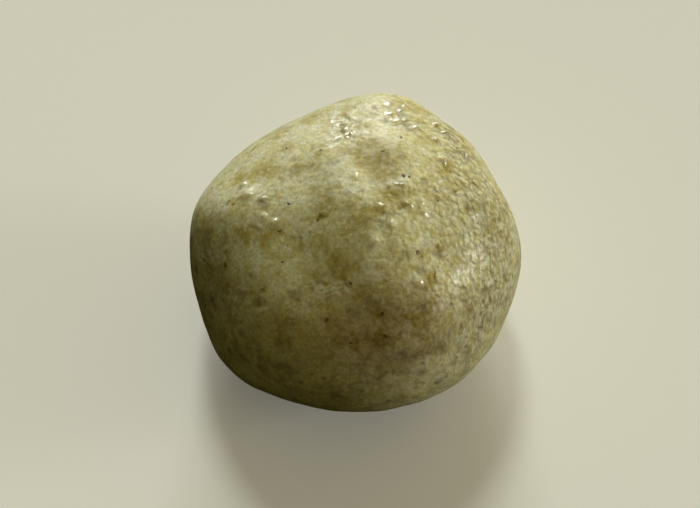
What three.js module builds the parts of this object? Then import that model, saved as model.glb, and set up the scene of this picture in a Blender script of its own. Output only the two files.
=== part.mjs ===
// Wheat gluten manju: a soft steamed dumpling of green-flecked gluten dough, closed round its filling.
// It is one solid. Millimetres, +Z up, the front is -Y and the right is +X.
// The origin is on the underside, at the middle of the dumpling's box.
import * as THREE from "three";
import { mergeVertices } from "three/addons/utils/BufferGeometryUtils.js";

// The round body, before its swellings and dents.
const HALF_WIDTH = 23.6; // from the axis to the girth at the sides
const HALF_DEPTH = 22.9; // from the axis to the girth at the front and back
const CROWN_RISE = 19.8; // from the girth up to the crown
const BELLY_DROP = 17.5; // from the girth down to the underside, before it is pressed flat
const GIRTH_HEIGHT = 14; // of the girth above the surface it rests on
const FULLNESS = 2.15; // exponent of the upright section: 2 is an ellipse, and more is squarer
const FOOT_EASE = 2; // height over which the side curls under to the flat foot
const ARC_RADIUS = 20; // radius at which the arcs along and across a swelling are measured
const EDGE_CUTS = 17; // cuts in each edge of the icosahedron that carries the surface

// What the hand left in the dough: swellings, with a height above 0, and dents, below 0.
// azimuth goes from the front towards the right and elevation up from the girth, in degrees.
// along and across are its half-lengths, and turn is how far along leans from level towards the crown.
const SWELLINGS = [
  // Round the rim, from the back over the left to the right.
  { place: "back nub", azimuth: 163, elevation: 34, along: 4.5, across: 6, turn: 0, height: 1.4 },
  { place: "back left flat", azimuth: -143, elevation: 29, along: 8, across: 8, turn: 0, height: -2 },
  { place: "left side", azimuth: -96, elevation: 6, along: 6.5, across: 6, turn: 0, height: -1.2 },
  { place: "low left side", azimuth: -72, elevation: -12, along: 4, across: 5, turn: 0, height: -0.9 },
  { place: "front left corner", azimuth: -52, elevation: -23, along: 4, across: 5.5, turn: 0, height: 0.4 },
  { place: "front left foot", azimuth: -18, elevation: -35, along: 6, across: 6, turn: 0, height: -1.2 },
  { place: "front foot", azimuth: 18, elevation: -34, along: 5, across: 5, turn: 0, height: -0.8 },
  { place: "front right rim", azimuth: 45, elevation: 0, along: 5, across: 3, turn: 20, height: 0.2 },
  { place: "right foot", azimuth: 71, elevation: -13, along: 5.5, across: 5, turn: 0, height: -0.6 },
  { place: "right edge", azimuth: 110, elevation: 14, along: 3.5, across: 6, turn: 0, height: -0.8 },
  { place: "notch by the nub", azimuth: 143, elevation: 29, along: 2.5, across: 4, turn: 0, height: -0.4 },
  // On top and down the front, from the left to the right.
  { place: "upper left hollow", azimuth: -91, elevation: 50, along: 4, across: 2.5, turn: 85, height: -0.3 },
  { place: "left shoulder", azimuth: -82, elevation: 40, along: 7, across: 3.5, turn: 60, height: 1.2 },
  { place: "hollow under it", azimuth: -60, elevation: 16, along: 5, across: 4, turn: -80, height: -1.1 },
  { place: "brow hollow", azimuth: -62, elevation: 74, along: 3, across: 3, turn: 0, height: -0.4 },
  { place: "left cheek", azimuth: -37, elevation: 33, along: 7, across: 5, turn: 90, height: 0.5 },
  { place: "low left hollow", azimuth: -43, elevation: 22, along: 3, across: 3, turn: 0, height: -0.3 },
  { place: "middle valley", azimuth: -33, elevation: 54, along: 6, across: 3.5, turn: -45, height: -1.1 },
  { place: "crown", azimuth: -21, elevation: 74, along: 6, across: 5, turn: 20, height: 0.2 },
  { place: "dimple edge", azimuth: -14, elevation: 83, along: 4.5, across: 2.2, turn: -50, height: 0.4 },
  { place: "dimple", azimuth: 107, elevation: 84, along: 2.6, across: 2.4, turn: 0, height: -0.8 },
  { place: "behind the dimple", azimuth: 100, elevation: 74, along: 3.5, across: 3, turn: 0, height: 0.5 },
  { place: "saddle by the nub", azimuth: 180, elevation: 60, along: 7, across: 3, turn: 20, height: -0.6 },
  { place: "front groove", azimuth: -7, elevation: 48, along: 3.5, across: 4.5, turn: 0, height: -0.6 },
  { place: "low front hollow", azimuth: 0, elevation: 21, along: 3, across: 3.5, turn: 0, height: -0.3 },
  { place: "front ridge", azimuth: 26, elevation: 44, along: 7, across: 2.8, turn: -40, height: 0.8 },
  { place: "hollow below it", azimuth: 26, elevation: 18, along: 8, across: 3.5, turn: -5, height: -0.8 },
  { place: "low right swell", azimuth: 33, elevation: 20, along: 3, across: 3.5, turn: 0, height: 0.6 },
  { place: "right swell", azimuth: 48, elevation: 66, along: 3, across: 3, turn: 0, height: 0.3 },
  { place: "right flat", azimuth: 62, elevation: 36, along: 7, across: 6, turn: 0, height: -0.9 },
  { place: "right crown hollow", azimuth: 75, elevation: 57, along: 5, across: 3, turn: 90, height: -0.3 },
  { place: "right shoulder hollow", azimuth: 98, elevation: 48, along: 3, across: 3, turn: 0, height: -0.3 },
];

const DOUGH = new THREE.MeshStandardMaterial({ color: 0xb9b184, roughness: 0.45, metalness: 0 });

// The unit direction at an azimuth and elevation in degrees.
function directionAt(azimuth, elevation) {
  const a = THREE.MathUtils.degToRad(azimuth);
  const e = THREE.MathUtils.degToRad(elevation);
  return new THREE.Vector3(Math.sin(a) * Math.cos(e), -Math.cos(a) * Math.cos(e), Math.sin(e));
}

// A swelling's middle and the two directions on the surface that its half-lengths lie along.
function framed(swelling) {
  const middle = directionAt(swelling.azimuth, swelling.elevation);
  const level = directionAt(swelling.azimuth + 90, 0);
  const up = middle.clone().cross(level);
  const turn = THREE.MathUtils.degToRad(swelling.turn);
  const along = level.clone().multiplyScalar(Math.cos(turn)).addScaledVector(up, Math.sin(turn));
  const across = up.clone().multiplyScalar(Math.cos(turn)).addScaledVector(level, -Math.sin(turn));
  return { ...swelling, middle, alongAxis: along, acrossAxis: across };
}

// The height that one swelling adds in a direction: a bell curve of the arcs to its middle.
function heightOf(swelling, direction) {
  const angle = swelling.middle.angleTo(direction);
  const arc = ARC_RADIUS * (angle > 1e-6 ? angle / Math.sin(angle) : 1);
  const along = (arc * swelling.alongAxis.dot(direction)) / swelling.along;
  const across = (arc * swelling.acrossAxis.dot(direction)) / swelling.across;
  return swelling.height * Math.exp(-0.5 * (along * along + across * across));
}

// The larger of two heights, with the corner between them rounded over the ease.
function easedMax(a, b, ease) {
  const overlap = Math.max(ease - Math.abs(a - b), 0);
  return Math.max(a, b) + (overlap * overlap) / (4 * ease);
}

// The distance from the body's middle to its plain surface in a direction.
function plainRadius(direction) {
  const outward = Math.hypot(direction.x / HALF_WIDTH, direction.y / HALF_DEPTH);
  const upward = Math.abs(direction.z) / (direction.z >= 0 ? CROWN_RISE : BELLY_DROP);
  return (outward ** FULLNESS + upward ** FULLNESS) ** (-1 / FULLNESS);
}

// A ball's vertices carried out to the dumpling's surface, then pressed onto the resting plane.
function dumplingGeometry() {
  const ball = new THREE.IcosahedronGeometry(1, EDGE_CUTS);
  ball.deleteAttribute("normal");
  ball.deleteAttribute("uv");
  const geometry = mergeVertices(ball, 1e-5);
  const position = geometry.getAttribute("position");
  const swellings = SWELLINGS.map(framed);
  const point = new THREE.Vector3();
  for (let i = 0; i < position.count; i++) {
    point.fromBufferAttribute(position, i).normalize();
    const relief = swellings.reduce((sum, swelling) => sum + heightOf(swelling, point), 0);
    point.multiplyScalar(plainRadius(point) + relief);
    position.setXYZ(i, point.x, point.y, easedMax(point.z, -GIRTH_HEIGHT, FOOT_EASE));
  }
  geometry.computeBoundingBox();
  const middle = geometry.boundingBox.getCenter(new THREE.Vector3());
  geometry.translate(-middle.x, -middle.y, -geometry.boundingBox.min.z);
  geometry.computeVertexNormals();
  return geometry;
}

const manju = new THREE.Mesh(dumplingGeometry(), DOUGH);
manju.name = "manju";

const group = new THREE.Group();
group.add(manju);

export default group;
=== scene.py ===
"""Wheat gluten manju: a soft steamed dumpling, its damp flecked skin and a plain studio round it."""

import math

import bpy
import numpy as np
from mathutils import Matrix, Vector


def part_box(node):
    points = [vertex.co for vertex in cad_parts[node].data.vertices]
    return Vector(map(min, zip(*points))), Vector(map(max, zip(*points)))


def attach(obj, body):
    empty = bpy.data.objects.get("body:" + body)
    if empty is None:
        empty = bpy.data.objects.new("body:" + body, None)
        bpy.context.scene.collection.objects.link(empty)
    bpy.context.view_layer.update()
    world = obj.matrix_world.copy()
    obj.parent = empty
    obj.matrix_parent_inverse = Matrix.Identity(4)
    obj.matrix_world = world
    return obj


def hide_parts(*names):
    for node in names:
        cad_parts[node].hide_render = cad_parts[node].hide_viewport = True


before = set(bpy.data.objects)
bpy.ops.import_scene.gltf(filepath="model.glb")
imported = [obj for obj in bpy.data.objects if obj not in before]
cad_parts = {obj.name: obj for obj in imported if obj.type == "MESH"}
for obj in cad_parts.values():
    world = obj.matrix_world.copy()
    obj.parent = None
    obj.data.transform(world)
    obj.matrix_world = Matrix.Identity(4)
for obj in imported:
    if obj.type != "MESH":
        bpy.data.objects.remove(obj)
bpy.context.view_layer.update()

bl_info = {
    "name": "Wheat Gluten Manju",
    "version": (1, 0, 0),
    "blender": (4, 5, 0),
    "location": "3D View > Sidebar > Manju",
    "description": "Makes a steamed wheat gluten dumpling, the flecks in its dough and a studio",
    "category": "Add Mesh",
}

MM = 0.001
NODE = "manju"
NODE_LOW, NODE_HIGH = (np.array(corner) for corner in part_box(NODE))

# The round body, before its swellings and dents, in millimetres. These and the swellings are the
# same as in the part's source.
HALF_WIDTH = 23.6
HALF_DEPTH = 22.9
CROWN_RISE = 19.8
BELLY_DROP = 17.5
GIRTH_HEIGHT = 14.0
FULLNESS = 2.15
FOOT_EASE = 2.0
ARC_RADIUS = 20.0

# Swellings and dents: azimuth from the front towards the right and elevation from the girth in
# degrees, half-lengths along and across, the lean of along towards the crown, and the height.
SWELLINGS = {
    "back nub": (163, 34, 4.5, 6, 0, 1.4),
    "back left flat": (-143, 29, 8, 8, 0, -2),
    "left side": (-96, 6, 6.5, 6, 0, -1.2),
    "low left side": (-72, -12, 4, 5, 0, -0.9),
    "front left corner": (-52, -23, 4, 5.5, 0, 0.4),
    "front left foot": (-18, -35, 6, 6, 0, -1.2),
    "front foot": (18, -34, 5, 5, 0, -0.8),
    "front right rim": (45, 0, 5, 3, 20, 0.2),
    "right foot": (71, -13, 5.5, 5, 0, -0.6),
    "right edge": (110, 14, 3.5, 6, 0, -0.8),
    "notch by the nub": (143, 29, 2.5, 4, 0, -0.4),
    "upper left hollow": (-91, 50, 4, 2.5, 85, -0.3),
    "left shoulder": (-82, 40, 7, 3.5, 60, 1.2),
    "hollow under it": (-60, 16, 5, 4, -80, -1.1),
    "brow hollow": (-62, 74, 3, 3, 0, -0.4),
    "left cheek": (-37, 33, 7, 5, 90, 0.5),
    "low left hollow": (-43, 22, 3, 3, 0, -0.3),
    "middle valley": (-33, 54, 6, 3.5, -45, -1.1),
    "crown": (-21, 74, 6, 5, 20, 0.2),
    "dimple edge": (-14, 83, 4.5, 2.2, -50, 0.4),
    "dimple": (107, 84, 2.6, 2.4, 0, -0.8),
    "behind the dimple": (100, 74, 3.5, 3, 0, 0.5),
    "saddle by the nub": (180, 60, 7, 3, 20, -0.6),
    "front groove": (-7, 48, 3.5, 4.5, 0, -0.6),
    "low front hollow": (0, 21, 3, 3.5, 0, -0.3),
    "front ridge": (26, 44, 7, 2.8, -40, 0.8),
    "hollow below it": (26, 18, 8, 3.5, -5, -0.8),
    "low right swell": (33, 20, 3, 3.5, 0, 0.6),
    "right swell": (48, 66, 3, 3, 0, 0.3),
    "right flat": (62, 36, 7, 6, 0, -0.9),
    "right crown hollow": (75, 57, 5, 3, 90, -0.3),
    "right shoulder hollow": (98, 48, 3, 3, 0, -0.3),
}

# The skin's relief: wavelengths, how far noise bends the place, and the height above the foot over
# which the relief comes in, all in millimetres, and the seeds of the noises.
BEND_WAVELENGTH = 2.6
LUMP_WAVELENGTH = 5.0
PEBBLE_WAVELENGTH = 1.9
WRINKLE_WAVELENGTH = 0.95
PEBBLE_BEND = 1.2
WRINKLE_BEND = 0.9
RELIEF_FADE = 3.0
BEND_SEEDS = (3, 5, 7)
LUMP_SEED = 11
PEBBLE_SEED = 23
WRINKLE_SEED = 37

# What is written on the skin's points: how stained and how clear the dough is, with painted shade and
# painted light among these, how far up its colour is painted as lit rather than shaded, where its shade
# is painted browner, how wet the film on it is, where beads stand, and how strong its pebbly grain and
# its fine ridges are, with painted shade in their crevices and furrows.
SKIN_MAPS = ("stain_shade_and_light", "clear_and_lit", "lit_share", "shade_brown", "wet", "bead", "peel", "ridged")

# The height in millimetres above which the dough's colour is painted as lit rather than shaded, with
# more threads and clouds, and its grain gets stronger.
LIT_AND_GRAIN_RISE = 12

# The way in which the fine ridges of the skin are drawn out.
RIDGE_WAY = (0.0, 0.82, 0.57)

# Stains, and places of painted shade and painted light, a name each: azimuth, elevation,
# half-lengths along and across, lean, and strength. A strength below nothing is a paler place; the
# paler places include painted highlights, and some dark places are painted shade.
STAINS_AND_PAINTED_LIGHT = {
    "dimple": (115, 79, 2.3, 1.9, -20, 0.95),
    "dimple foot": (84, 77, 1.0, 0.7, 20, 0.45),
    "flake": (-32, 66, 0.9, 0.8, 30, 0.60),
    "flake trail": (-10, 53, 0.8, 0.6, 80, 0.70),
    "brow fold": (-99, 53, 1.7, 1.0, -55, 0.65),
    "shoulder spot": (-80, 45, 0.7, 0.4, 30, 0.60),
    "shoulder foot": (-76, 41, 2.3, 0.7, 55, 0.25),
    "cheek spot": (-63, 45, 0.5, 0.5, 0, 0.40),
    "cheek streak": (-52, 51, 1.4, 0.6, 65, 0.35),
    "cheek drip": (-50, 47, 0.5, 0.4, 0, 0.30),
    "left cheek": (-60, 31, 2.1, 1.6, -60, 0.50),
    "left spot": (-61, 14, 1.8, 0.6, 55, 0.60),
    "valley": (-28, 55, 1.3, 0.5, 20, 0.35),
    "valley foot": (-22, 41, 0.6, 0.6, 0, 0.40),
    "front patch": (4, 44, 0.9, 0.5, 0, 0.50),
    "brown front": (13, 34, 3.7, 2.3, -15, 0.10),
    "brown low": (-10, 28, 4.6, 2.7, 10, 0.12),
    "front spot": (11, 35, 0.5, 0.4, 0, 0.40),
    "front spot below": (11, 27, 0.5, 0.5, 0, 0.50),
    "lower spot": (-11, 33, 0.5, 0.5, 0, 0.40),
    "low brown left": (-25, 27, 0.9, 0.8, 65, 0.35),
    "right spot": (102, 52, 0.8, 0.5, -45, 0.60),
    "right spot below": (88, 50, 0.6, 0.4, -35, 0.55),
    "right pit": (79, 44, 0.5, 0.4, -35, 0.50),
    "right rim pit": (84, 30, 0.7, 0.4, -60, 0.50),
    "right dark low": (51, 40, 0.8, 0.5, -60, 0.40),
    "back right edge": (116, 45, 4.9, 1.7, -59, 0.12),
    "round the dimple": (62, 78, 2.3, 2.1, -43, 0.25),
    "upper left pale": (-101, 65, 3.1, 2.7, -69, -0.15),
    "low front": (11, 15, 3.0, 2.1, 0, 0.20),
    # painted highlight on the shoulder
    "light on the shoulder": (-82, 52, 1.4, 0.5, 47, -0.60),
    "valley side": (-11, 56, 1.2, 0.7, -50, 0.40),
    "right streak": (74, 61, 3.1, 0.5, -60, 0.35),
    "right dark": (37, 50, 0.6, 0.5, -50, 0.50),
    "right green": (37, 41, 0.7, 0.5, 50, 0.55),
    "right tan": (52, 46, 1.3, 0.7, -35, 0.40),
    "right tan beside": (55, 38, 0.8, 0.6, -75, 0.35),
    "top left spot": (-122, 58, 0.9, 0.5, 75, 0.50),
    "top left dots": (-121, 74, 1.4, 1.0, 15, 0.40),
    "near side of the valley": (-11, 63, 3.3, 1.6, -50, 0.18),
    "middle of the front": (19, 69, 2.6, 1.5, 10, 0.15),
    "front on the right": (24, 34, 3.1, 1.8, -25, 0.20),
    "low on the left": (-21, 16, 3.5, 2.0, 10, 0.08),
    "low right spot": (31, 15, 0.9, 0.6, -50, 0.45),
    "lower dark line": (20, 16, 1.7, 0.5, 0, 0.35),
    "low brown right": (16, 20, 4.9, 2.0, 0, 0.22),
    # painted shade along the left edge, and painted light below it
    "left edge": (-88, 29, 2.4, 1.2, 35, 0.40),
    "left edge below": (-75, 22, 1.9, 1.1, 65, -0.45),
    "low dash": (17, 11, 0.9, 0.4, -20, 0.50),
    "front dot": (10, 26, 0.6, 0.5, -20, 0.45),
    "front dot above it": (12, 35, 0.6, 0.5, -50, 0.45),
    "front dot by the line": (24, 17, 0.7, 0.6, -10, 0.40),
    "low crescent": (22, 5, 1.1, 0.4, -90, 0.50),
    "low dot": (17, -1, 1.0, 0.8, -60, 0.40),
    "low dot in the middle": (-5, 1, 0.8, 0.7, 80, 0.40),
    "rim below": (54, 13, 2.6, 1.6, -60, 0.20),
    "low ring": (31, 16, 0.9, 0.5, -40, 0.30),
    "low ring beside it": (39, 12, 0.8, 0.5, -60, 0.35),
    "dot by the right edge": (46, 23, 0.9, 0.4, -45, 0.40),
    "front grey dot": (1, 24, 0.6, 0.5, -15, 0.40),
    "low streak": (-18, 0, 2.0, 1.0, 15, 0.30),
    "cheek dark line": (-52, 54, 0.9, 0.35, 25, 0.50),
    "cheek dark streak": (-50, 48, 1.0, 0.4, -45, 0.40),
    "nub edge": (150, 35, 2.0, 0.9, -60, 0.25),
    "nub edge below it": (144, 36, 2.7, 0.8, -70, 0.10),
    "nub side": (125, 54, 0.9, 0.7, -55, 0.45),
    "pale streak by the brow": (-82, 67, 0.8, 0.5, -71, -0.5),
    "pale streak beside it": (-74, 72, 0.8, 0.4, -18, -0.5),
    "pale streak below it": (-57, 70, 0.8, 0.4, 52, -0.35),
    "dark line by the brow": (-75, 62, 0.5, 0.4, -33, 0.5),
    "grey spot over the brow": (-104, 70, 0.6, 0.5, 58, 0.35),
    "spot beside the brow": (-61, 73, 0.5, 0.4, -9, 0.35),
    "olive spot by the nub": (104, 52, 0.8, 0.5, -47, 0.5),
    "dark spot by the edge": (90, 40, 0.6, 0.4, -58, 0.5),
    "dark spot below it": (90, 34, 0.7, 0.4, -57, 0.4),
    "ring by the edge": (78, 32, 0.6, 0.5, -61, 0.4),
    "spot on the right": (48, 47, 0.4, 0.4, -18, 0.4),
    "brow patch": (-100, 55, 1.6, 1.2, 45, 0.3),
    "light by the ring": (66, 39, 1.0, 0.8, 88, -0.3),
    "light on the right": (67, 48, 2.0, 1.1, -60, -0.35),
    "light by the rim": (68, 30, 2.0, 1.8, 65, -0.35),
    # painted highlight over the shoulder
    "shoulder": (-85, 48, 4.0, 0.9, 70, -0.55),
    "shoulder edge": (-96, 32, 3.9, 1.1, 50, -0.40),
    "dimple ring": (27, 85, 2.3, 0.7, 80, -0.35),
    "dimple ring front": (74, 70, 1.6, 0.8, -60, -0.30),
    "brow light": (-50, 65, 1.8, 1.5, 25, -0.45),
    "cheek light": (-31, 43, 1.2, 1.1, 0, -0.35),
    "front light": (-11, 45, 1.7, 0.6, 10, -0.50),
    "right band": (35, 44, 2.8, 0.5, 5, -0.30),
    "crown light": (145, 61, 3.0, 2.2, -10, -0.25),
    # painted light on a lit band low on the right
    "low right band": (25, 5, 3.4, 1.5, 15, -0.50),
    "upper left light": (-113, 38, 3.0, 2.0, 60, -0.25),
}

# Where the shaded front is painted browner, the warm tone of its shade painted into the colour:
# azimuth, elevation, half-lengths, lean and strength.
SHADE_BROWNED = {
    "low front": (10, 28, 6.0, 4.5, -5, 1.0),
}

# Where the film of water on the skin is wettest: azimuth, elevation, half-lengths, lean and strength.
WET = {
    "behind the crown": (-169, 62, 2.4, 1.7, 90, 0.4),
    "over the dimple": (143, 55, 1.5, 1.0, -75, 0.5),
    "back of the nub": (155, 48, 1.3, 0.8, 0, 0.4),
    "dimple foot": (65, 72, 1.2, 0.9, -50, 0.3),
    "left shoulder": (-78, 54, 1.7, 1.0, 45, 0.8),
    "by the shoulder": (-52, 58, 1.1, 0.8, 0, 0.5),
    "right crown": (63, 61, 2.6, 1.2, -45, 0.5),
    "right side": (66, 43, 5.6, 4.8, 10, 0.24),
}

# Where the skin is drawn into fine ridges, with painted shade in their furrows and painted highlights on
# their crests: azimuth, elevation, half-lengths, lean and strength.
RIDGED = {
    "right rim": (72, 29, 8.0, 3.5, 40, 0.8),
    "right edge": (88, 18, 8.0, 3.0, 20, 0.8),
    "low right rim": (49, 16, 4.0, 3.0, 40, 0.5),
}

# Where the skin is blistered and knobbly: azimuth, elevation, half-lengths, lean and strength.
BLISTERED = {
    "behind the crown": (-172, 66, 2.1, 1.4, 80, 1.0),
    "over the dimple": (148, 54, 2.5, 1.4, -30, 1.0),
    "back right edge": (131, 40, 3.6, 2.4, -20, 1.2),
    "right shoulder": (94, 40, 5.0, 3.5, -15, 0.9),
    "right side": (66, 38, 6.0, 5.5, 55, 0.65),
    "right rim": (86, 24, 8.0, 3.0, 10, 0.5),
    "dimple foot": (73, 71, 1.0, 0.8, -70, 0.2),
    "left shoulder": (-70, 56, 1.5, 0.7, 0, 0.2),
    "front": (-10, 45, 1.9, 0.6, 10, 0.6),
    "creases by the ridge": (40, 68, 2.3, 1.0, 15, 0.4),
}

# Small things in the skin: azimuth, elevation, half-lengths along and across, lean, and height in
# millimetres. Blisters stand up, and pits and creases go down.
MARKS = {
    "bubble": (-177, 55, 0.5, 0.4, 90, 0.28),
    "bubble rim": (-177, 58, 0.9, 0.2, -50, -0.10),
    "blister": (-174, 66, 0.8, 0.5, 90, 0.28),
    "blister pit": (-170, 64, 0.5, 0.35, 90, -0.26),
    "blister crease": (-161, 73, 1.4, 0.28, 5, -0.24),
    "crease over the dimple": (169, 66, 1.2, 0.28, 35, -0.18),
    "crease beyond it": (152, 60, 1.2, 0.28, -5, -0.18),
    "crease in the blisters": (136, 58, 1.2, 0.28, -15, -0.18),
    "front crease": (35, 66, 1.8, 0.3, 15, -0.24),
    "front crease fork": (46, 60, 1.0, 0.28, 60, -0.18),
    "shoulder crease": (-78, 50, 1.8, 0.3, 70, -0.10),
    "low crease": (15, 16, 1.5, 0.2, 0, -0.10),
    "low crease beside it": (21, 16, 1.3, 0.2, 15, -0.08),
    "ring pit": (77, 39, 0.5, 0.4, -40, -0.26),
    "pit by the edge": (88, 50, 0.6, 0.4, -35, -0.22),
    "pit below it": (79, 44, 0.5, 0.4, -35, -0.22),
    "pit by the rim": (84, 30, 0.6, 0.4, -60, -0.22),
    "speck pit": (102, 52, 0.5, 0.3, -45, -0.12),
    "low pit": (31, 15, 0.4, 0.3, -55, -0.12),
    "dimple lip": (45, 87, 1.6, 0.6, 60, 0.22),
}

# Small wet beads and bubbles that catch the light: azimuth, elevation, half-length and height in
# millimetres.
BEADS = {
    "dimple edge": (30, 86, 0.42, 0.18),
    "dimple foot": (72, 69.5, 0.60, 0.40),
    "middle": (33, 63.5, 0.36, 0.44),
    "middle behind it": (36, 70, 0.55, 0.29),
    "middle below it": (15, 60, 0.50, 0.38),
    "right crown": (57, 65, 0.42, 0.42),
    "right crown beyond it": (66, 62, 0.40, 0.38),
    "right crown below it": (60, 59, 0.40, 0.34),
    "right crown behind it": (88, 62, 0.40, 0.40),
    "right crown by the edge": (108, 53, 0.42, 0.44),
    "low on the right": (30, 42, 0.40, 0.32),
    "top": (-172, 66, 0.32, 0.14),
    "top on the right": (-177, 68, 0.32, 0.06),
    "top on the left": (-165, 56, 0.32, 0.12),
    "top nearer": (-161, 71, 0.32, 0.10),
    "top nearest": (-174, 71, 0.32, 0.12),
    "nub": (148, 56, 0.28, 0.14),
    "nub beside it": (144, 54, 0.30, 0.22),
    "nub on the right": (136, 54, 0.34, 0.28),
    "nub behind": (160, 47, 0.28, 0.15),
    "nub behind on the right": (152, 49, 0.32, 0.20),
    "nub at the back": (153, 44, 0.32, 0.22),
    "nub in the middle": (156, 54, 0.30, 0.16),
    "beyond the notch": (134, 43, 0.38, 0.58),
    "beyond the notch, nearer": (127, 44, 0.36, 0.62),
    "below the notch": (123, 51, 0.34, 0.44),
    "by the back right edge": (115, 41, 0.38, 0.56),
    "shoulder": (-75, 56, 0.38, 0.27),
    "shoulder beyond it": (-82, 51, 0.60, 0.50),
    "shoulder above it": (-90, 49, 0.38, 0.34),
    "cheek": (-62, 54, 0.34, 0.28),
    "cheek below it": (-56, 55.5, 0.34, 0.27),
}

# Flakes of herb that lie in the skin: azimuth, elevation, half-length, half-breadth and half-thickness
# in millimetres, lean, how far the length is bent sideways, and the share of purple in its colour.
FLAKES = {
    "curled flake": (-32, 67, 1.05, 0.50, 0.09, 55, 0.9, 0.0),
    "black speck": (-63, 62.5, 0.22, 0.19, 0.12, 20, 0.0, 1),
    "dimple speck": (83, 72, 0.34, 0.26, 0.12, 40, 0.0, 1),
    "speck by it": (83, 70, 0.24, 0.18, 0.10, -40, 0.0, 0.6),
    "edge speck": (-60, 15, 0.55, 0.32, 0.12, 50, 0.0, 0.3),
    "cheek speck": (-60, 32, 0.42, 0.32, 0.12, 75, 0.0, 0),
    "right speck": (36, 51, 0.42, 0.30, 0.12, -45, 0.1, 0.4),
    "right speck beside it": (37, 49, 0.28, 0.22, 0.10, 0, 0.0, 0),
    "tan sliver": (49, 48, 0.40, 0.20, 0.10, 30, 0.0, 0),
    "right sliver": (38, 42, 0.45, 0.22, 0.10, 55, 0.1, 0),
    "low speck": (11, 27, 0.36, 0.28, 0.06, -25, 0.0, 0.4),
    "low speck beside it": (-1, 25, 0.30, 0.24, 0.06, 0, 0.0, 0.4),
    "front speck": (-11, 33, 0.34, 0.26, 0.06, 15, 0.0, 0.4),
    "front speck on the right": (11, 35, 0.34, 0.26, 0.06, -15, 0.0, 0.2),
    "nub speck": (88, 50, 0.34, 0.24, 0.10, -50, 0.0, 0),
    "nub speck above it": (102, 52, 0.32, 0.26, 0.10, -45, 0.0, 0),
    "upper speck": (-122, 58, 0.34, 0.22, 0.10, 70, 0.0, 0),
    "upper speck beside it": (-130, 73, 0.30, 0.22, 0.10, 60, 0.0, 0.4),
    "top speck": (136, 65, 0.34, 0.22, 0.10, -50, 0.0, 0),
    "shoulder speck": (-80, 45, 0.32, 0.26, 0.10, 35, 0.0, 0),
    "cheek fleck": (-51, 54, 0.30, 0.24, 0.10, 35, 0.0, 0.4),
}

# How far a flake's middle lies under the skin, as a share of its half-thickness, and the cells along
# each side of the six patches of a flake.
FLAKE_SUNK = 0.35
FLAKE_CELLS = 4

# The small specks without a name: half-thickness in millimetres, and the seeds of their draws and of
# the uneven rims of all flakes.
SPECK_THICKNESS = 0.10
SPECK_SEED = 5
RIM_SEED = 9

# Sizes and spacings of the patterns in the materials.
DRIFT_SIZE = 1.9 * MM
DRIFT_REACH = 1.1 * MM
CLOUD_SIZE = 3.5 * MM
PATCH_SIZE = 1.2 * MM
THREAD_SIZE = 1.6 * MM
GRAIN_SIZE = 0.55 * MM
SHADE_SIZE = 0.45 * MM
BLOTCH_SPACING = 2.3 * MM
DOT_SPACING = 1.6 * MM
PALE_DOT_SPACING = 1.1 * MM
PEBBLE_SIZE = 0.90 * MM
KNOB_SIZE = 1.1 * MM
FURROW_SIZE = 0.75 * MM
GLOSS_SIZE = 0.8 * MM
DROP_SPACING = 1.6 * MM
POOL_SIZE = 0.7 * MM
DAMP_SIZE = 1.3 * MM
STREAK_SIZE = 0.5 * MM

# Heights of the material's bumps, and how deep light gets into the dough.
SKIN_BUMP = 0.45 * MM
FILM_BUMP = 0.40 * MM
LIGHT_DEPTH = 2.5 * MM

# Colours that no setting changes.
# The stain's painted shaded copy, duller, used towards the foot.
SHADED_STAIN_COLOUR = (0.27, 0.215, 0.11, 1)
# Pale dough, also used where light is painted on the skin.
CLEAR_AND_LIT_COLOUR = (0.88, 0.85, 0.60, 1)
# Painted shade in the crevices between the pebbles.
PAINTED_CREVICE_SHADE = (0.27, 0.235, 0.12, 1)
# The warm tone of shade, painted onto the shaded front.
SHADE_BROWN_TINT = (1.0, 0.90, 0.95, 1)
STREAK_COLOUR = (0.14, 0.105, 0.02, 1)
PURPLE_COLOUR = (0.16, 0.10, 0.12, 1)
BACKDROP_COLOUR = (0.62, 0.60, 0.50, 1)
ROOM_COLOUR = (0.208, 0.175, 0.066, 1)
HORIZON_COLOUR = (0.022, 0.023, 0.007, 1)

FLOOR_RADIUS = 1.5
FLOOR_CORNERS = 96
FLOOR_GLOW = 0.12

# The way in which the room gets paler, as a light.
ROOM_WAY = (0.45, 0, 1)

# Azimuth, elevation and width in degrees, strength in watts per square metre, and colour.
LIGHTS = {
    "right light": (93, 4, 19, 1.95, (0.98, 0.97, 0.87)),
    "low back light": (181, 14, 20, 1.80, (0.98, 0.99, 0.93)),
    "high back light": (186, 52, 12, 0.85, (0.95, 1.0, 0.88)),
}

# The camera: elevation in degrees, lens and sensor in millimetres, distance and near clip in metres,
# the middle of what it shows, and how far its aim lies to the left of that and below it, in millimetres.
CAMERA_ELEVATION = 55
CAMERA_LENS = 85
CAMERA_SENSOR = 36
CAMERA_DISTANCE = 0.2297
CAMERA_NEAR_CLIP = 0.01
CAMERA_TARGET = (0.05, 0.85, 14.0)
CAMERA_LEFT = 0.76
CAMERA_DOWN = 0.28


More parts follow.
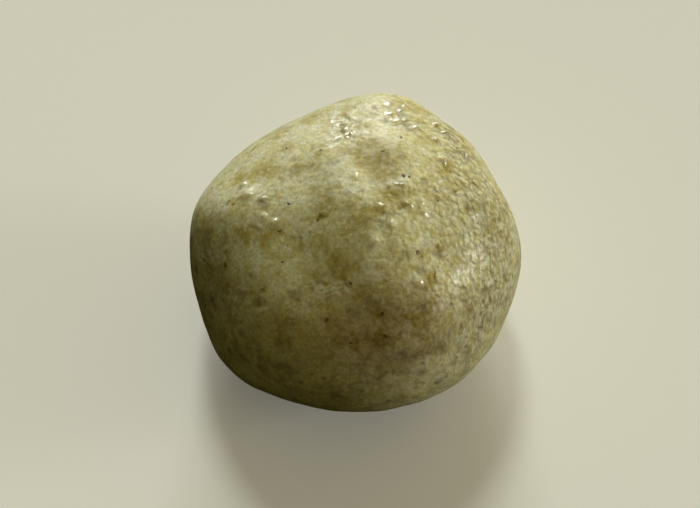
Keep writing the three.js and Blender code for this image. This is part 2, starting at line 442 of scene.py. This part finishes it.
class ManjuSettings(bpy.types.PropertyGroup):
    """Sizes and colours of the dumpling and its studio."""

    cells: bpy.props.IntProperty(
        name="Cells", description="Cells along each side of the six patches of skin",
        default=128, min=16, max=128)
    lump_height: bpy.props.FloatProperty(
        name="Lump height", description="Height of the broad unevenness of the dough",
        default=0.25 * MM, min=0, unit="LENGTH", precision=5)
    pebble_height: bpy.props.FloatProperty(
        name="Pebble height", description="Height of the knobbly grain, full where the skin is blistered",
        default=0.22 * MM, min=0, unit="LENGTH", precision=5)
    wrinkle_height: bpy.props.FloatProperty(
        name="Wrinkle height", description="Height of the fine wrinkles all over the skin",
        default=0.10 * MM, min=0, unit="LENGTH", precision=5)
    dough_colour: bpy.props.FloatVectorProperty(
        name="Dough", description="Colour of the plain dough", subtype="COLOR",
        size=4, min=0, max=1, default=(0.70, 0.65, 0.31, 1))
    stain_colour: bpy.props.FloatVectorProperty(
        name="Stain", description="Colour where herb stains the dough", subtype="COLOR",
        size=4, min=0, max=1, default=(0.44, 0.345, 0.055, 1))
    blotch_colour: bpy.props.FloatVectorProperty(
        name="Blotch", description="Colour of the brown blotches under the skin", subtype="COLOR",
        size=4, min=0, max=1, default=(0.16, 0.11, 0.05, 1))
    speck_colour: bpy.props.FloatVectorProperty(
        name="Speck", description="Colour of the small dark specks under the skin", subtype="COLOR",
        size=4, min=0, max=1, default=(0.15, 0.10, 0.05, 1))
    # Also painted as highlights on the crests of the ridges and in pale dots.
    thread_and_highlight_colour: bpy.props.FloatVectorProperty(
        name="Thread", description="Colour of the pale gluten threads in the skin", subtype="COLOR",
        size=4, min=0, max=1, default=(0.80, 0.78, 0.57, 1))
    fleck_colour: bpy.props.FloatVectorProperty(
        name="Fleck", description="Colour of the flakes of herb", subtype="COLOR",
        size=4, min=0, max=1, default=(0.37, 0.31, 0.035, 1))
    fleck_count: bpy.props.IntProperty(
        name="Flecks", description="Number of small specks of herb, beside the named flakes",
        default=16, min=0, max=400)
    floor_colour: bpy.props.FloatVectorProperty(
        name="Floor", description="Colour of the studio floor", subtype="COLOR",
        size=4, min=0, max=1, default=(0.90, 0.89, 0.86, 1))
    bounce_colour: bpy.props.FloatVectorProperty(
        name="Light thrown back", description="Colour of what little light comes up from below",
        subtype="COLOR", size=4, min=0, max=1, default=(0.02, 0.02, 0.008, 1))


def unit_direction(azimuth, elevation):
    """The unit vector at an azimuth from the front towards the right and an elevation, in degrees."""
    a, e = np.radians(azimuth), np.radians(elevation)
    return np.array([np.sin(a) * np.cos(e), -np.cos(a) * np.cos(e), np.sin(e)])


def eased_max(a, b, ease):
    """The larger of a and b, with the corner between them rounded over the ease."""
    return np.maximum(a, b) + np.maximum(ease - np.abs(a - b), 0) ** 2 / (4 * ease)


def bell(direction, azimuth, elevation, along, across, turn=0):
    """A bell curve from 1 at its middle: exp(-half the sum of squares of the arcs along and across)."""
    middle = unit_direction(azimuth, elevation)
    level = unit_direction(azimuth + 90, 0)
    up = np.cross(middle, level)
    t = math.radians(turn)
    axis_along = level * math.cos(t) + up * math.sin(t)
    axis_across = up * math.cos(t) - level * math.sin(t)
    angle = np.arccos(np.clip(direction @ middle, -1, 1))
    arc = ARC_RADIUS * angle / np.maximum(np.sin(angle), 1e-9)
    u = arc * (direction @ axis_along) / along
    v = arc * (direction @ axis_across) / across
    return np.exp(-0.5 * (u * u + v * v))


def body_surface(direction):
    """Points of the dumpling's plain form, in millimetres from its middle, one for each direction.

    The radius is where (outward share)^p + (upward share)^p is 1, plus the swellings; then the
    height is pressed onto the resting plane.
    """
    outward = np.hypot(direction[:, 0] / HALF_WIDTH, direction[:, 1] / HALF_DEPTH)
    reach = np.where(direction[:, 2] >= 0, CROWN_RISE, BELLY_DROP)
    upward = np.abs(direction[:, 2]) / reach
    radius = (outward ** FULLNESS + upward ** FULLNESS) ** (-1 / FULLNESS)
    for azimuth, elevation, along, across, turn, height in SWELLINGS.values():
        radius = radius + height * bell(direction, azimuth, elevation, along, across, turn)
    points = direction * radius[:, None]
    points[:, 2] = eased_max(points[:, 2], -GIRTH_HEIGHT, FOOT_EASE)
    return points


def in_the_box(points):
    """The points moved, and scaled by the last fraction, so that their box is the node's box."""
    low, high = points.min(0), points.max(0)
    share = (points - low) / (high - low)
    return NODE_LOW + share * (NODE_HIGH - NODE_LOW)


def ball_patches(cells):
    """Unit directions and four-sided faces of a ball of six square patches.

    A patch point is its axis plus tan(u) times one side plus tan(v) times the other, made a unit,
    with u and v from -45 to 45 degrees. Points shared by patches are merged.
    """
    t = np.tan(np.linspace(-np.pi / 4, np.pi / 4, cells + 1))
    u, v = (g.ravel() for g in np.meshgrid(t, t, indexing="ij"))
    one = np.ones_like(u)
    sides = [(one, u, v), (-one, -u, v), (-u, one, v), (u, -one, v), (-v, u, one), (v, u, -one)]
    points = np.concatenate([np.stack(side, 1) for side in sides])
    points /= np.linalg.norm(points, axis=1, keepdims=True)
    i, j = (g.ravel() for g in np.meshgrid(np.arange(cells), np.arange(cells), indexing="ij"))
    corner = i * (cells + 1) + j
    patch = np.stack([corner, corner + cells + 1, corner + cells + 2, corner + 1], 1)
    faces = np.concatenate([patch + k * (cells + 1) ** 2 for k in range(6)])
    _, first, merged = np.unique(
        np.round(points, 7), axis=0, return_index=True, return_inverse=True)
    return points[first], merged.ravel()[faces]


def point_normals(points, faces):
    """Unit normals at the points: the sum of the crossed diagonals of the faces round each."""
    a, b, c, d = (points[faces[:, k]] for k in range(4))
    crossed = np.cross(c - a, d - b)
    total = np.stack([
        sum(np.bincount(faces[:, k], crossed[:, axis], len(points)) for k in range(4))
        for axis in range(3)], 1)
    return total / np.linalg.norm(total, axis=1, keepdims=True)


def lattice_noise(points, wavelength, seed):
    """Smooth noise in space, about -0.7 to 0.7.

    Each corner of a cubic lattice of that wavelength holds a fixed slope. A point takes the eased
    mixture, over its cell's eight corners, of the slope times its offset from the corner.
    """
    random = np.random.default_rng(seed)
    order = np.tile(random.permutation(256), 2)
    slopes = random.normal(size=(256, 3))
    slopes /= np.linalg.norm(slopes, axis=1, keepdims=True)
    place = points / wavelength
    cell = np.floor(place).astype(int)
    offset = place - cell
    ease = offset ** 3 * (offset * (offset * 6 - 15) + 10)
    total = np.zeros(len(points))
    for corner in np.ndindex(2, 2, 2):
        x, y, z = ((cell + corner) & 255).T
        slope = slopes[order[order[order[x] + y] + z]]
        weight = np.prod(np.where(corner, ease, 1 - ease), axis=1)
        total += weight * np.sum(slope * (offset - corner), axis=1)
    return total


def spread(direction, spots):
    """The sum of the bells of the spots, each times its strength or height."""
    return sum(amount * bell(direction, *place) for *place, amount in spots.values())


def beads(direction):
    """The sum of the bells of the beads, and of the same bells times their heights in millimetres."""
    bells = [bell(direction, az, el, half, half) for az, el, half, _ in BEADS.values()]
    return sum(bells), sum(b * height for b, (*_, height) in zip(bells, BEADS.values()))


def skin_relief(direction, points, blistered, bead_height, settings):
    """Height of the skin over the plain form, in metres, faded out towards the foot.

    Lumps are plain noise. Pebbles and wrinkles are the size of noise whose place is bent by wider
    noise, so its zero lines make narrow winding creases between rounded ridges. All fade with the
    square of the height over RELIEF_FADE.
    """
    mm = points / MM
    bend = np.stack([lattice_noise(mm, BEND_WAVELENGTH, seed) for seed in BEND_SEEDS], 1)
    lumps = lattice_noise(mm, LUMP_WAVELENGTH, LUMP_SEED) * settings.lump_height
    knobs = np.abs(lattice_noise(mm + PEBBLE_BEND * bend, PEBBLE_WAVELENGTH, PEBBLE_SEED))
    pebbles = knobs * settings.pebble_height * np.clip(0.25 + blistered, 0, 1.3)
    rounded = np.abs(lattice_noise(mm + WRINKLE_BEND * bend, WRINKLE_WAVELENGTH, WRINKLE_SEED))
    wrinkles = rounded * settings.wrinkle_height * np.clip(0.3 + 0.6 * blistered, 0.3, 1)
    marks = (spread(direction, MARKS) + bead_height) * MM
    fade = np.clip(mm[:, 2] / RELIEF_FADE, 0, 1) ** 2
    return (lumps + pebbles + wrinkles + marks) * fade


def skin_maps(direction, points, blistered, bead_cover):
    """The values of the SKIN_MAPS at the skin's points, by name."""
    # The stains include painted shade, and the paler places painted light.
    stain_shade_and_light = spread(direction, STAINS_AND_PAINTED_LIGHT)
    above = points[:, 2] / MM - LIT_AND_GRAIN_RISE
    return {
        "stain_shade_and_light": stain_shade_and_light,
        "clear_and_lit": np.clip(-1.2 * stain_shade_and_light - 0.1, 0, 0.7),
        # How far the colour is painted as lit rather than shaded: low at the foot, full high up.
        "lit_share": np.clip(0.35 + 0.04 * above, 0.35, 1),
        # Where the front's shade is painted browner.
        "shade_brown": np.clip(spread(direction, SHADE_BROWNED), 0, 1),
        "wet": 0.08 + spread(direction, WET),
        "bead": np.clip(1.2 * bead_cover, 0, 1),
        "peel": np.clip(0.04 + 0.003 * above + 0.9 * blistered, 0.04, 1.3),
        "ridged": np.clip(spread(direction, RIDGED), 0, 1.2),
    }


def skin_places(dough, directions):
    """The skin's points, and its normals, nearest those directions from the dumpling's middle."""
    count = len(dough.data.vertices)
    points, normals = np.empty(count * 3), np.empty(count * 3)
    dough.data.vertices.foreach_get("co", points)
    dough.data.vertices.foreach_get("normal", normals)
    points, normals = points.reshape(-1, 3), normals.reshape(-1, 3)
    seen = points - (0, 0, GIRTH_HEIGHT * MM)
    seen /= np.linalg.norm(seen, axis=1, keepdims=True)
    nearest = np.argmax(directions @ seen.T, axis=1)
    return points[nearest], normals[nearest]


def small_specks(count):
    """Rows like those of FLAKES for that many small specks, strewn over all but the foot of the skin."""
    random = np.random.default_rng(SPECK_SEED)
    height = random.uniform(-0.3, 0.97, count)
    azimuth = random.uniform(-180, 180, count)
    length = random.uniform(0.18, 0.36, count)
    breadth = length * random.uniform(0.5, 0.9, count)
    lean = random.uniform(0, 180, count)
    purple = random.uniform(0, 0.4, count)
    thickness = np.full(count, SPECK_THICKNESS)
    elevation = np.degrees(np.arcsin(height))
    return np.stack([azimuth, elevation, length, breadth, thickness, lean, np.zeros(count), purple], 1)


def flake_surfaces(middles, normals, sizes, leans, bends):
    """Closed flakes, each a flattened ball.

    A ball's point (x, y, z) goes out to an uneven rim, 1 plus waves of two and three round it, times
    the half-length, half-breadth and half-thickness, and its breadth moves by the bend times x squared
    less 0.4.
    """
    random = np.random.default_rng(RIM_SEED)
    ball, faces = ball_patches(FLAKE_CELLS)
    around = np.arctan2(ball[:, 1], ball[:, 0])
    phases = random.uniform(0, 2 * np.pi, (2, len(middles), 1))
    rim = 1 + 0.16 * np.sin(2 * around + phases[0]) + 0.12 * np.sin(3 * around + phases[1])
    along = ball[:, 0] * rim * sizes[:, :1]
    across = ball[:, 1] * rim * sizes[:, 1:2] - bends[:, None] * (ball[:, 0] ** 2 - 0.4)
    up = ball[:, 2] * sizes[:, 2:]
    level = np.cross([0, 0, 1.0], normals)
    level /= np.linalg.norm(level, axis=1, keepdims=True)
    rise = np.cross(normals, level)
    turn = np.radians(leans)[:, None]
    axis_along = level * np.cos(turn) + rise * np.sin(turn)
    axis_across = rise * np.cos(turn) - level * np.sin(turn)
    points = middles[:, None] + MM * (
        along[..., None] * axis_along[:, None] + across[..., None] * axis_across[:, None]
        + up[..., None] * normals[:, None])
    offsets = np.arange(len(middles))[:, None, None] * len(ball)
    return points.reshape(-1, 3), (faces + offsets).reshape(-1, 4)


def placed(name, data):
    """A new object of that data in the scene."""
    made = bpy.data.objects.new(name, data)
    bpy.context.scene.collection.objects.link(made)
    return made


def new_piece(name, points, faces, material):
    """A smooth mesh of the points, in metres, and faces, which rides on the one body."""
    mesh = bpy.data.meshes.new(name)
    sides = faces.shape[1]
    mesh.vertices.add(len(points))
    mesh.vertices.foreach_set("co", points.astype(np.float32).ravel())
    mesh.loops.add(faces.size)
    mesh.loops.foreach_set("vertex_index", faces.astype(np.int32).ravel())
    mesh.polygons.add(len(faces))
    mesh.polygons.foreach_set("loop_start", np.arange(len(faces), dtype=np.int32) * sides)
    mesh.polygons.foreach_set("use_smooth", np.ones(len(faces), bool))
    mesh.update(calc_edges=True)
    mesh.validate()
    piece = placed(name, mesh)
    mesh.materials.append(material)
    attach(piece, "root")
    return piece


def write_map(piece, name, values):
    """Keeps a value for each of the piece's points as an attribute of that name."""
    attribute = piece.data.attributes.new(name, "FLOAT", "POINT")
    attribute.data.foreach_set("value", values.astype(np.float32))


def new_material(name):
    """A new material, its node tree and its shader."""
    material = bpy.data.materials.new(name)
    material.use_nodes = True
    return material, material.node_tree, material.node_tree.nodes["Principled BSDF"]


def add_node(tree, kind, inputs=None, **settings):
    """A new node with its settings, and its inputs set to a value or joined to a socket."""
    node = tree.nodes.new(kind)
    for name, value in settings.items():
        setattr(node, name, value)
    for name, value in (inputs or {}).items():
        if isinstance(value, bpy.types.NodeSocket):
            tree.links.new(value, node.inputs[name])
        else:
            node.inputs[name].default_value = value
    return node


def mixed(tree, factor, a, b, blend="MIX"):
    """The colour socket of a mixture of a and b."""
    node = add_node(tree, "ShaderNodeMix", data_type="RGBA", blend_type=blend)
    for index, value in ((0, factor), (6, a), (7, b)):
        if isinstance(value, bpy.types.NodeSocket):
            tree.links.new(value, node.inputs[index])
        else:
            node.inputs[index].default_value = value
    return node.outputs[2]


def maths(tree, operation, *values):
    """The result socket of a Math node."""
    node = add_node(tree, "ShaderNodeMath", operation=operation)
    for index, value in enumerate(values):
        if isinstance(value, bpy.types.NodeSocket):
            tree.links.new(value, node.inputs[index])
        else:
            node.inputs[index].default_value = value
    return node.outputs[0]


def ramped(tree, value, low, high, to_low=0.0, to_high=1.0):
    """A socket that goes smoothly from to_low to to_high as the value goes from low to high."""
    node = add_node(
        tree, "ShaderNodeMapRange",
        {"Value": value, "From Min": low, "From Max": high, "To Min": to_low, "To Max": to_high},
        interpolation_type="SMOOTHSTEP")
    return node.outputs["Result"]


def noise(tree, place, wavelength, detail=3.0, roughness=0.55):
    """The value socket of a noise of that wavelength in metres."""
    node = add_node(
        tree, "ShaderNodeTexNoise",
        {"Vector": place, "Scale": 1 / wavelength, "Detail": detail, "Roughness": roughness})
    return node.outputs["Fac"]


def specks(tree, place, spacing, share, size, edge):
    """A mask of irregular specks: in a share of the cells, a spot that grows with the cell's chance."""
    cell = add_node(tree, "ShaderNodeTexVoronoi", {"Vector": place, "Scale": 1 / spacing})
    chance = add_node(tree, "ShaderNodeSeparateColor", {"Color": cell.outputs["Color"]})
    radius = ramped(tree, chance.outputs["Red"], 1 - share, 1, 0, size)
    inside = maths(tree, "SUBTRACT", radius, cell.outputs["Distance"])
    return ramped(tree, inside, -edge, edge)


def times(tree, a, b):
    """The result socket of a times b."""
    return maths(tree, "MULTIPLY", a, b)


def clouded_colour(tree, bent, stain_and_shade_colour, maps, settings):
    """Cream dough with pale threads, stained in clouds and at the named places, and clear places, some of
    them painted shade and light; threads and clouds are painted fainter towards the foot, as shade.
    """
    threads = ramped(tree, noise(tree, bent, THREAD_SIZE, 2.0, 0.5), 0.32, 0.68)
    threads = times(tree, threads, maps["lit_share"])
    colour = mixed(tree, threads, settings.dough_colour, settings.thread_and_highlight_colour)
    clouds = times(tree, noise(tree, bent, CLOUD_SIZE, 1.0, 0.4), 1.7)
    patches = times(tree, noise(tree, bent, PATCH_SIZE, 2.0, 0.5), 1.3)
    mottle = ramped(tree, maths(tree, "ADD", clouds, patches), 1.35, 2.0, 0, 0.75)
    mottle = times(tree, mottle, maths(tree, "MULTIPLY_ADD", maps["lit_share"], 0.6, 0.35))
    amount = maths(tree, "ADD", mottle, maps["stain_shade_and_light"])
    amount.node.use_clamp = True
    colour = mixed(tree, amount, colour, stain_and_shade_colour)
    return mixed(tree, maps["clear_and_lit"], colour, CLEAR_AND_LIT_COLOUR)


def speckled_colour(tree, colour, place, bent, stain_and_shade_colour, maps, settings):
    """The colour with brown blotches, dark dots, a grain of pale and dark painted fainter towards the
    foot as shade, and pale dots that are painted small highlights.
    """
    blotches = times(tree, specks(tree, bent, BLOTCH_SPACING, 0.55, 0.34, 0.22), 0.45)
    colour = mixed(tree, blotches, colour, settings.blotch_colour)
    dots = times(tree, specks(tree, bent, DOT_SPACING, 0.55, 0.23, 0.11), 0.5)
    colour = mixed(tree, dots, colour, settings.speck_colour)
    grain = noise(tree, place, GRAIN_SIZE, 2.0, 0.7)
    pale = times(tree, ramped(tree, grain, 0.50, 0.75, 0, 0.55), maps["lit_share"])
    colour = mixed(tree, pale, colour, settings.thread_and_highlight_colour)
    dark = times(tree, ramped(tree, grain, 0.50, 0.25, 0, 0.5), maps["lit_share"])
    colour = mixed(tree, dark, colour, stain_and_shade_colour)
    shade = ramped(tree, noise(tree, place, SHADE_SIZE, 2.0, 0.7), 0.3, 0.7, 0.86, 1.19)
    colour = mixed(tree, 1.0, colour, shade, "MULTIPLY")
    # Pale dots: painted small highlights.
    pale_dots = times(tree, specks(tree, place, PALE_DOT_SPACING, 0.4, 0.22, 0.08), 0.55)
    return mixed(tree, pale_dots, colour, settings.thread_and_highlight_colour)


def creased_colour(tree, colour, pebbles, furrows, stain_and_shade_colour, maps, settings):
    """The colour with painted shade in the crevices between the pebbles and in the furrows, painted
    highlights on the crests, and the shaded front painted browner.
    """
    # Painted shade in the crevices between the pebbles.
    crevice_shade = times(tree, ramped(tree, pebbles, 0.38, 0.62, 0, 0.42), maps["peel"])
    colour = mixed(tree, crevice_shade, colour, PAINTED_CREVICE_SHADE)
    # Painted shade in the furrows of the ridges.
    furrow_shade = times(tree, ramped(tree, furrows, 0.50, 0.36, 0, 0.5), maps["ridged"])
    colour = mixed(tree, furrow_shade, colour, stain_and_shade_colour)
    # Painted highlights on the crests of the ridges.
    crest_highlight = times(tree, ramped(tree, furrows, 0.50, 0.64, 0, 0.5), maps["ridged"])
    colour = mixed(tree, crest_highlight, colour, settings.thread_and_highlight_colour)
    # The front's shade painted browner.
    return mixed(tree, maps["shade_brown"], colour, SHADE_BROWN_TINT, "MULTIPLY")


def furrow_noise(tree, place):
    """Noise whose place is drawn out: half of its part along RIDGE_WAY is taken away."""
    slant = add_node(tree, "ShaderNodeVectorMath", {0: place, 1: RIDGE_WAY}, operation="DOT_PRODUCT")
    shift = add_node(
        tree, "ShaderNodeVectorMath", {0: RIDGE_WAY, "Scale": slant.outputs["Value"]}, operation="SCALE")
    drawn = add_node(
        tree, "ShaderNodeVectorMath", {0: shift.outputs[0], 1: (-0.5,) * 3, 2: place},
        operation="MULTIPLY_ADD").outputs[0]
    return noise(tree, drawn, FURROW_SIZE, 2.0, 0.55)


def skin_bump(tree, place, pebbles, furrows, maps):
    """The normal of the fine relief: pebbles with knobs, and ridges."""
    knobs = times(tree, noise(tree, place, KNOB_SIZE, 2.0, 0.5), 0.7)
    fine = maths(tree, "MULTIPLY_ADD", pebbles, -1.1, knobs)
    ridges = times(tree, times(tree, furrows, maps["ridged"]), 1.5)
    height = maths(tree, "MULTIPLY_ADD", fine, maps["peel"], ridges)
    bump = add_node(tree, "ShaderNodeBump", {"Height": height, "Distance": SKIN_BUMP, "Strength": 1.0})
    return bump.outputs["Normal"]


def wet_film(tree, shader, place, maps):
    """The thin film of water, as the shader's coat: droplets, pools, damp patches and the beads."""
    drop = add_node(tree, "ShaderNodeTexVoronoi", {"Vector": place, "Scale": 1 / DROP_SPACING})
    chance = add_node(tree, "ShaderNodeSeparateColor", {"Color": drop.outputs["Color"]}).outputs["Red"]
    present = ramped(tree, maths(tree, "MULTIPLY_ADD", maps["wet"], 0.35, chance), 1.03, 1.06)
    drops = times(tree, ramped(tree, drop.outputs["Distance"], 0.45, 0.0), present)
    pools = times(tree, noise(tree, place, POOL_SIZE, 0.0, 0.5), maps["wet"])
    height = maths(tree, "MULTIPLY_ADD", pools, 0.25, times(tree, drops, 0.35))
    film = add_node(tree, "ShaderNodeBump", {"Height": height, "Distance": FILM_BUMP, "Strength": 1.0})
    damp = ramped(tree, noise(tree, place, DAMP_SIZE, 2.0, 0.5), 0.42, 0.66, 0.1, 0.8)
    damp = maths(tree, "MULTIPLY_ADD", damp, maps["wet"], maths(tree, "ADD", drops, maps["bead"]))
    damp.node.use_clamp = True
    tree.links.new(film.outputs["Normal"], shader.inputs["Coat Normal"])
    tree.links.new(damp, shader.inputs["Coat Weight"])
    shader.inputs["Coat Roughness"].default_value = 0.10
    shader.inputs["Coat IOR"].default_value = 1.55


def skin_material(settings):
    """Damp steamed dough: cream, stained olive in clouds, under a thin wet film.

    It has blurred specks, pebbles and fine ridges with painted shade in their crevices and furrows and
    painted highlights on their crests, pale dots that are painted highlights, and light gets a little way
    into it.
    """
    material, tree, shader = new_material("damp gluten dough")
    place = add_node(tree, "ShaderNodeTexCoord").outputs["Object"]
    drift = add_node(
        tree, "ShaderNodeTexNoise", {"Vector": place, "Scale": 1 / DRIFT_SIZE, "Detail": 1.0})
    bent = add_node(
        tree, "ShaderNodeVectorMath", {0: drift.outputs["Color"], 1: (DRIFT_REACH,) * 3, 2: place},
        operation="MULTIPLY_ADD").outputs[0]
    maps = {
        name: add_node(tree, "ShaderNodeAttribute", attribute_name=name).outputs["Fac"]
        for name in SKIN_MAPS}
    pebbles = add_node(
        tree, "ShaderNodeTexVoronoi",
        {"Vector": bent, "Scale": 1 / PEBBLE_SIZE, "Detail": 0.0, "Smoothness": 0.3},
        feature="SMOOTH_F1").outputs["Distance"]
    furrows = furrow_noise(tree, place)
    # The stain is painted in a shaded copy towards the foot and in its lit colour higher up.
    lit = ramped(tree, maps["lit_share"], 0.5, 1.0)
    stain_and_shade_colour = mixed(tree, lit, SHADED_STAIN_COLOUR, settings.stain_colour)
    colour = clouded_colour(tree, bent, stain_and_shade_colour, maps, settings)
    colour = speckled_colour(tree, colour, place, bent, stain_and_shade_colour, maps, settings)
    colour = creased_colour(tree, colour, pebbles, furrows, stain_and_shade_colour, maps, settings)
    gloss = ramped(tree, noise(tree, place, GLOSS_SIZE, 3.0, 0.6), 0.35, 0.65, 0.48, 0.64)
    tree.links.new(colour, shader.inputs["Base Color"])
    tree.links.new(gloss, shader.inputs["Roughness"])
    tree.links.new(skin_bump(tree, place, pebbles, furrows, maps), shader.inputs["Normal"])
    wet_film(tree, shader, place, maps)
    shader.inputs["Subsurface Weight"].default_value = 0.45
    shader.inputs["Subsurface Radius"].default_value = (1.0, 0.62, 0.22)
    shader.inputs["Subsurface Scale"].default_value = LIGHT_DEPTH
    return material


def herb_material(settings):
    """Wet leaf: olive, darker in streaks, and purple where the attribute says so."""
    material, tree, shader = new_material("wet herb")
    place = add_node(tree, "ShaderNodeTexCoord").outputs["Object"]
    streaks = ramped(tree, noise(tree, place, STREAK_SIZE, 1.0), 0.40, 0.52)
    colour = mixed(tree, streaks, STREAK_COLOUR, settings.fleck_colour)
    purple = add_node(tree, "ShaderNodeAttribute", attribute_name="purple").outputs["Fac"]
    colour = mixed(tree, purple, colour, PURPLE_COLOUR)
    tree.links.new(colour, shader.inputs["Base Color"])
    shader.inputs["Roughness"].default_value = 0.45
    return material


def make_floor(settings):
    """The studio floor: a wide flat disc. It looks pale, and what it throws back is dark."""
    around = np.linspace(0, 2 * np.pi, FLOOR_CORNERS, endpoint=False)
    points = FLOOR_RADIUS * np.stack([np.cos(around), np.sin(around), np.zeros(FLOOR_CORNERS)], 1)
    mesh = bpy.data.meshes.new("studio floor")
    mesh.from_pydata(points.tolist(), [], [list(range(FLOOR_CORNERS))])
    floor = placed("studio floor", mesh)
    material, tree, shader = new_material("pale paper")
    seen = add_node(tree, "ShaderNodeLightPath").outputs["Is Camera Ray"]
    colour = mixed(tree, seen, settings.bounce_colour, settings.floor_colour)
    tree.links.new(colour, shader.inputs["Base Color"])
    shader.inputs["Roughness"].default_value = 1.0
    shader.inputs["Specular IOR Level"].default_value = 0.0
    shader.inputs["Emission Color"].default_value = settings.floor_colour
    tree.links.new(times(tree, seen, FLOOR_GLOW), shader.inputs["Emission Strength"])
    mesh.materials.append(material)


def make_light(name, azimuth, elevation, angle, strength, colour):
    """A soft far light of that strength, in watts per square metre, as wide as the angle."""
    data = bpy.data.lights.new(name, "SUN")
    data.energy = strength
    data.angle = math.radians(angle)
    data.color = colour
    light = placed(name, data)
    light.rotation_euler = Vector(unit_direction(azimuth, elevation)).to_track_quat("Z", "Y").to_euler()


def make_room():
    """The room: a pale backdrop as seen, and as a light dim, paler overhead and to the right."""
    world = bpy.data.worlds.new("dim room")
    bpy.context.scene.world = world
    world.use_nodes = True
    tree = world.node_tree
    place = add_node(tree, "ShaderNodeTexCoord").outputs["Generated"]
    side = add_node(tree, "ShaderNodeVectorMath", {0: place, 1: ROOM_WAY}, operation="DOT_PRODUCT")
    room = mixed(tree, ramped(tree, side.outputs["Value"], 0.0, 0.80), HORIZON_COLOUR, ROOM_COLOUR)
    seen = add_node(tree, "ShaderNodeLightPath").outputs["Is Camera Ray"]
    colour = mixed(tree, seen, room, BACKDROP_COLOUR)
    tree.links.new(colour, tree.nodes["Background"].inputs["Color"])


def make_camera():
    """A long lens that looks down on the front of the dumpling."""
    data = bpy.data.cameras.new("camera")
    data.lens = CAMERA_LENS
    data.sensor_width = CAMERA_SENSOR
    data.clip_start = CAMERA_NEAR_CLIP
    camera = placed("camera", data)
    back = unit_direction(0, CAMERA_ELEVATION)
    up = unit_direction(180, 90 - CAMERA_ELEVATION)
    right = np.array([1.0, 0, 0])
    aim = np.array(CAMERA_TARGET) - CAMERA_LEFT * right - CAMERA_DOWN * up
    camera.location = aim * MM + back * CAMERA_DISTANCE
    camera.rotation_euler = Vector(back).to_track_quat("Z", "Y").to_euler()
    bpy.context.scene.camera = camera


class MANJU_OT_stage(bpy.types.Operator):
    """Make the floor, the lights, the room and the camera"""

    bl_idname = "manju.stage"
    bl_label = "Studio"

    def execute(self, context):
        make_floor(context.scene.manju)
        for name, light in LIGHTS.items():
            make_light(name, *light)
        make_room()
        make_camera()
        return {"FINISHED"}


class MANJU_OT_dough(bpy.types.Operator):
    """Make the dumpling's skin"""

    bl_idname = "manju.dough"
    bl_label = "Dough"

    def execute(self, context):
        settings = context.scene.manju
        direction, faces = ball_patches(settings.cells)
        points = in_the_box(body_surface(direction))
        blistered = spread(direction, BLISTERED)
        bead_cover, bead_height = beads(direction)
        relief = skin_relief(direction, points, blistered, bead_height, settings)
        points = points + point_normals(points, faces) * relief[:, None]
        points[:, 2] = np.maximum(points[:, 2], NODE_LOW[2])
        piece = new_piece("dough", points, faces, skin_material(settings))
        for name, values in skin_maps(direction, points, blistered, bead_cover).items():
            write_map(piece, name, values)
        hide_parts(NODE)
        return {"FINISHED"}


class MANJU_OT_herb_flecks(bpy.types.Operator):
    """Make the flakes of herb that lie in the skin, after the dough"""

    bl_idname = "manju.herb_flecks"
    bl_label = "Herb flecks"

    def execute(self, context):
        settings = context.scene.manju
        named = np.array(list(FLAKES.values()))
        flakes = np.concatenate([named, small_specks(settings.fleck_count)])
        directions = np.stack([unit_direction(*place) for place in flakes[:, :2]])
        middles, normals = skin_places(bpy.data.objects["dough"], directions)
        middles = middles - normals * flakes[:, 4:5] * FLAKE_SUNK * MM
        points, faces = flake_surfaces(middles, normals, flakes[:, 2:5], flakes[:, 5], flakes[:, 6])
        piece = new_piece("herb_flecks", points, faces, herb_material(settings))
        write_map(piece, "purple", np.repeat(flakes[:, 7], len(points) // len(flakes)))
        return {"FINISHED"}


class MANJU_PT_sidebar(bpy.types.Panel):
    """Lists the makers and their settings"""

    bl_idname = "MANJU_PT_sidebar"
    bl_label = "Manju"
    bl_space_type = "VIEW_3D"
    bl_region_type = "UI"
    bl_category = "Manju"

    def draw(self, context):
        for name in ManjuSettings.__annotations__:
            self.layout.prop(context.scene.manju, name)
        for operator in OPERATORS:
            self.layout.operator(operator.bl_idname)


OPERATORS = (MANJU_OT_stage, MANJU_OT_dough, MANJU_OT_herb_flecks)
CLASSES = (ManjuSettings, *OPERATORS, MANJU_PT_sidebar)


def register():
    for cls in CLASSES:
        bpy.utils.register_class(cls)
    bpy.types.Scene.manju = bpy.props.PointerProperty(type=ManjuSettings)


def unregister():
    del bpy.types.Scene.manju
    for cls in reversed(CLASSES):
        bpy.utils.unregister_class(cls)


def main():
    """Makes the studio and the pieces."""
    register()
    bpy.ops.manju.stage()
    bpy.ops.manju.dough()
    bpy.ops.manju.herb_flecks()
    bpy.context.scene.view_settings.view_transform = "Standard"


if __name__ == "__main__":
    main()
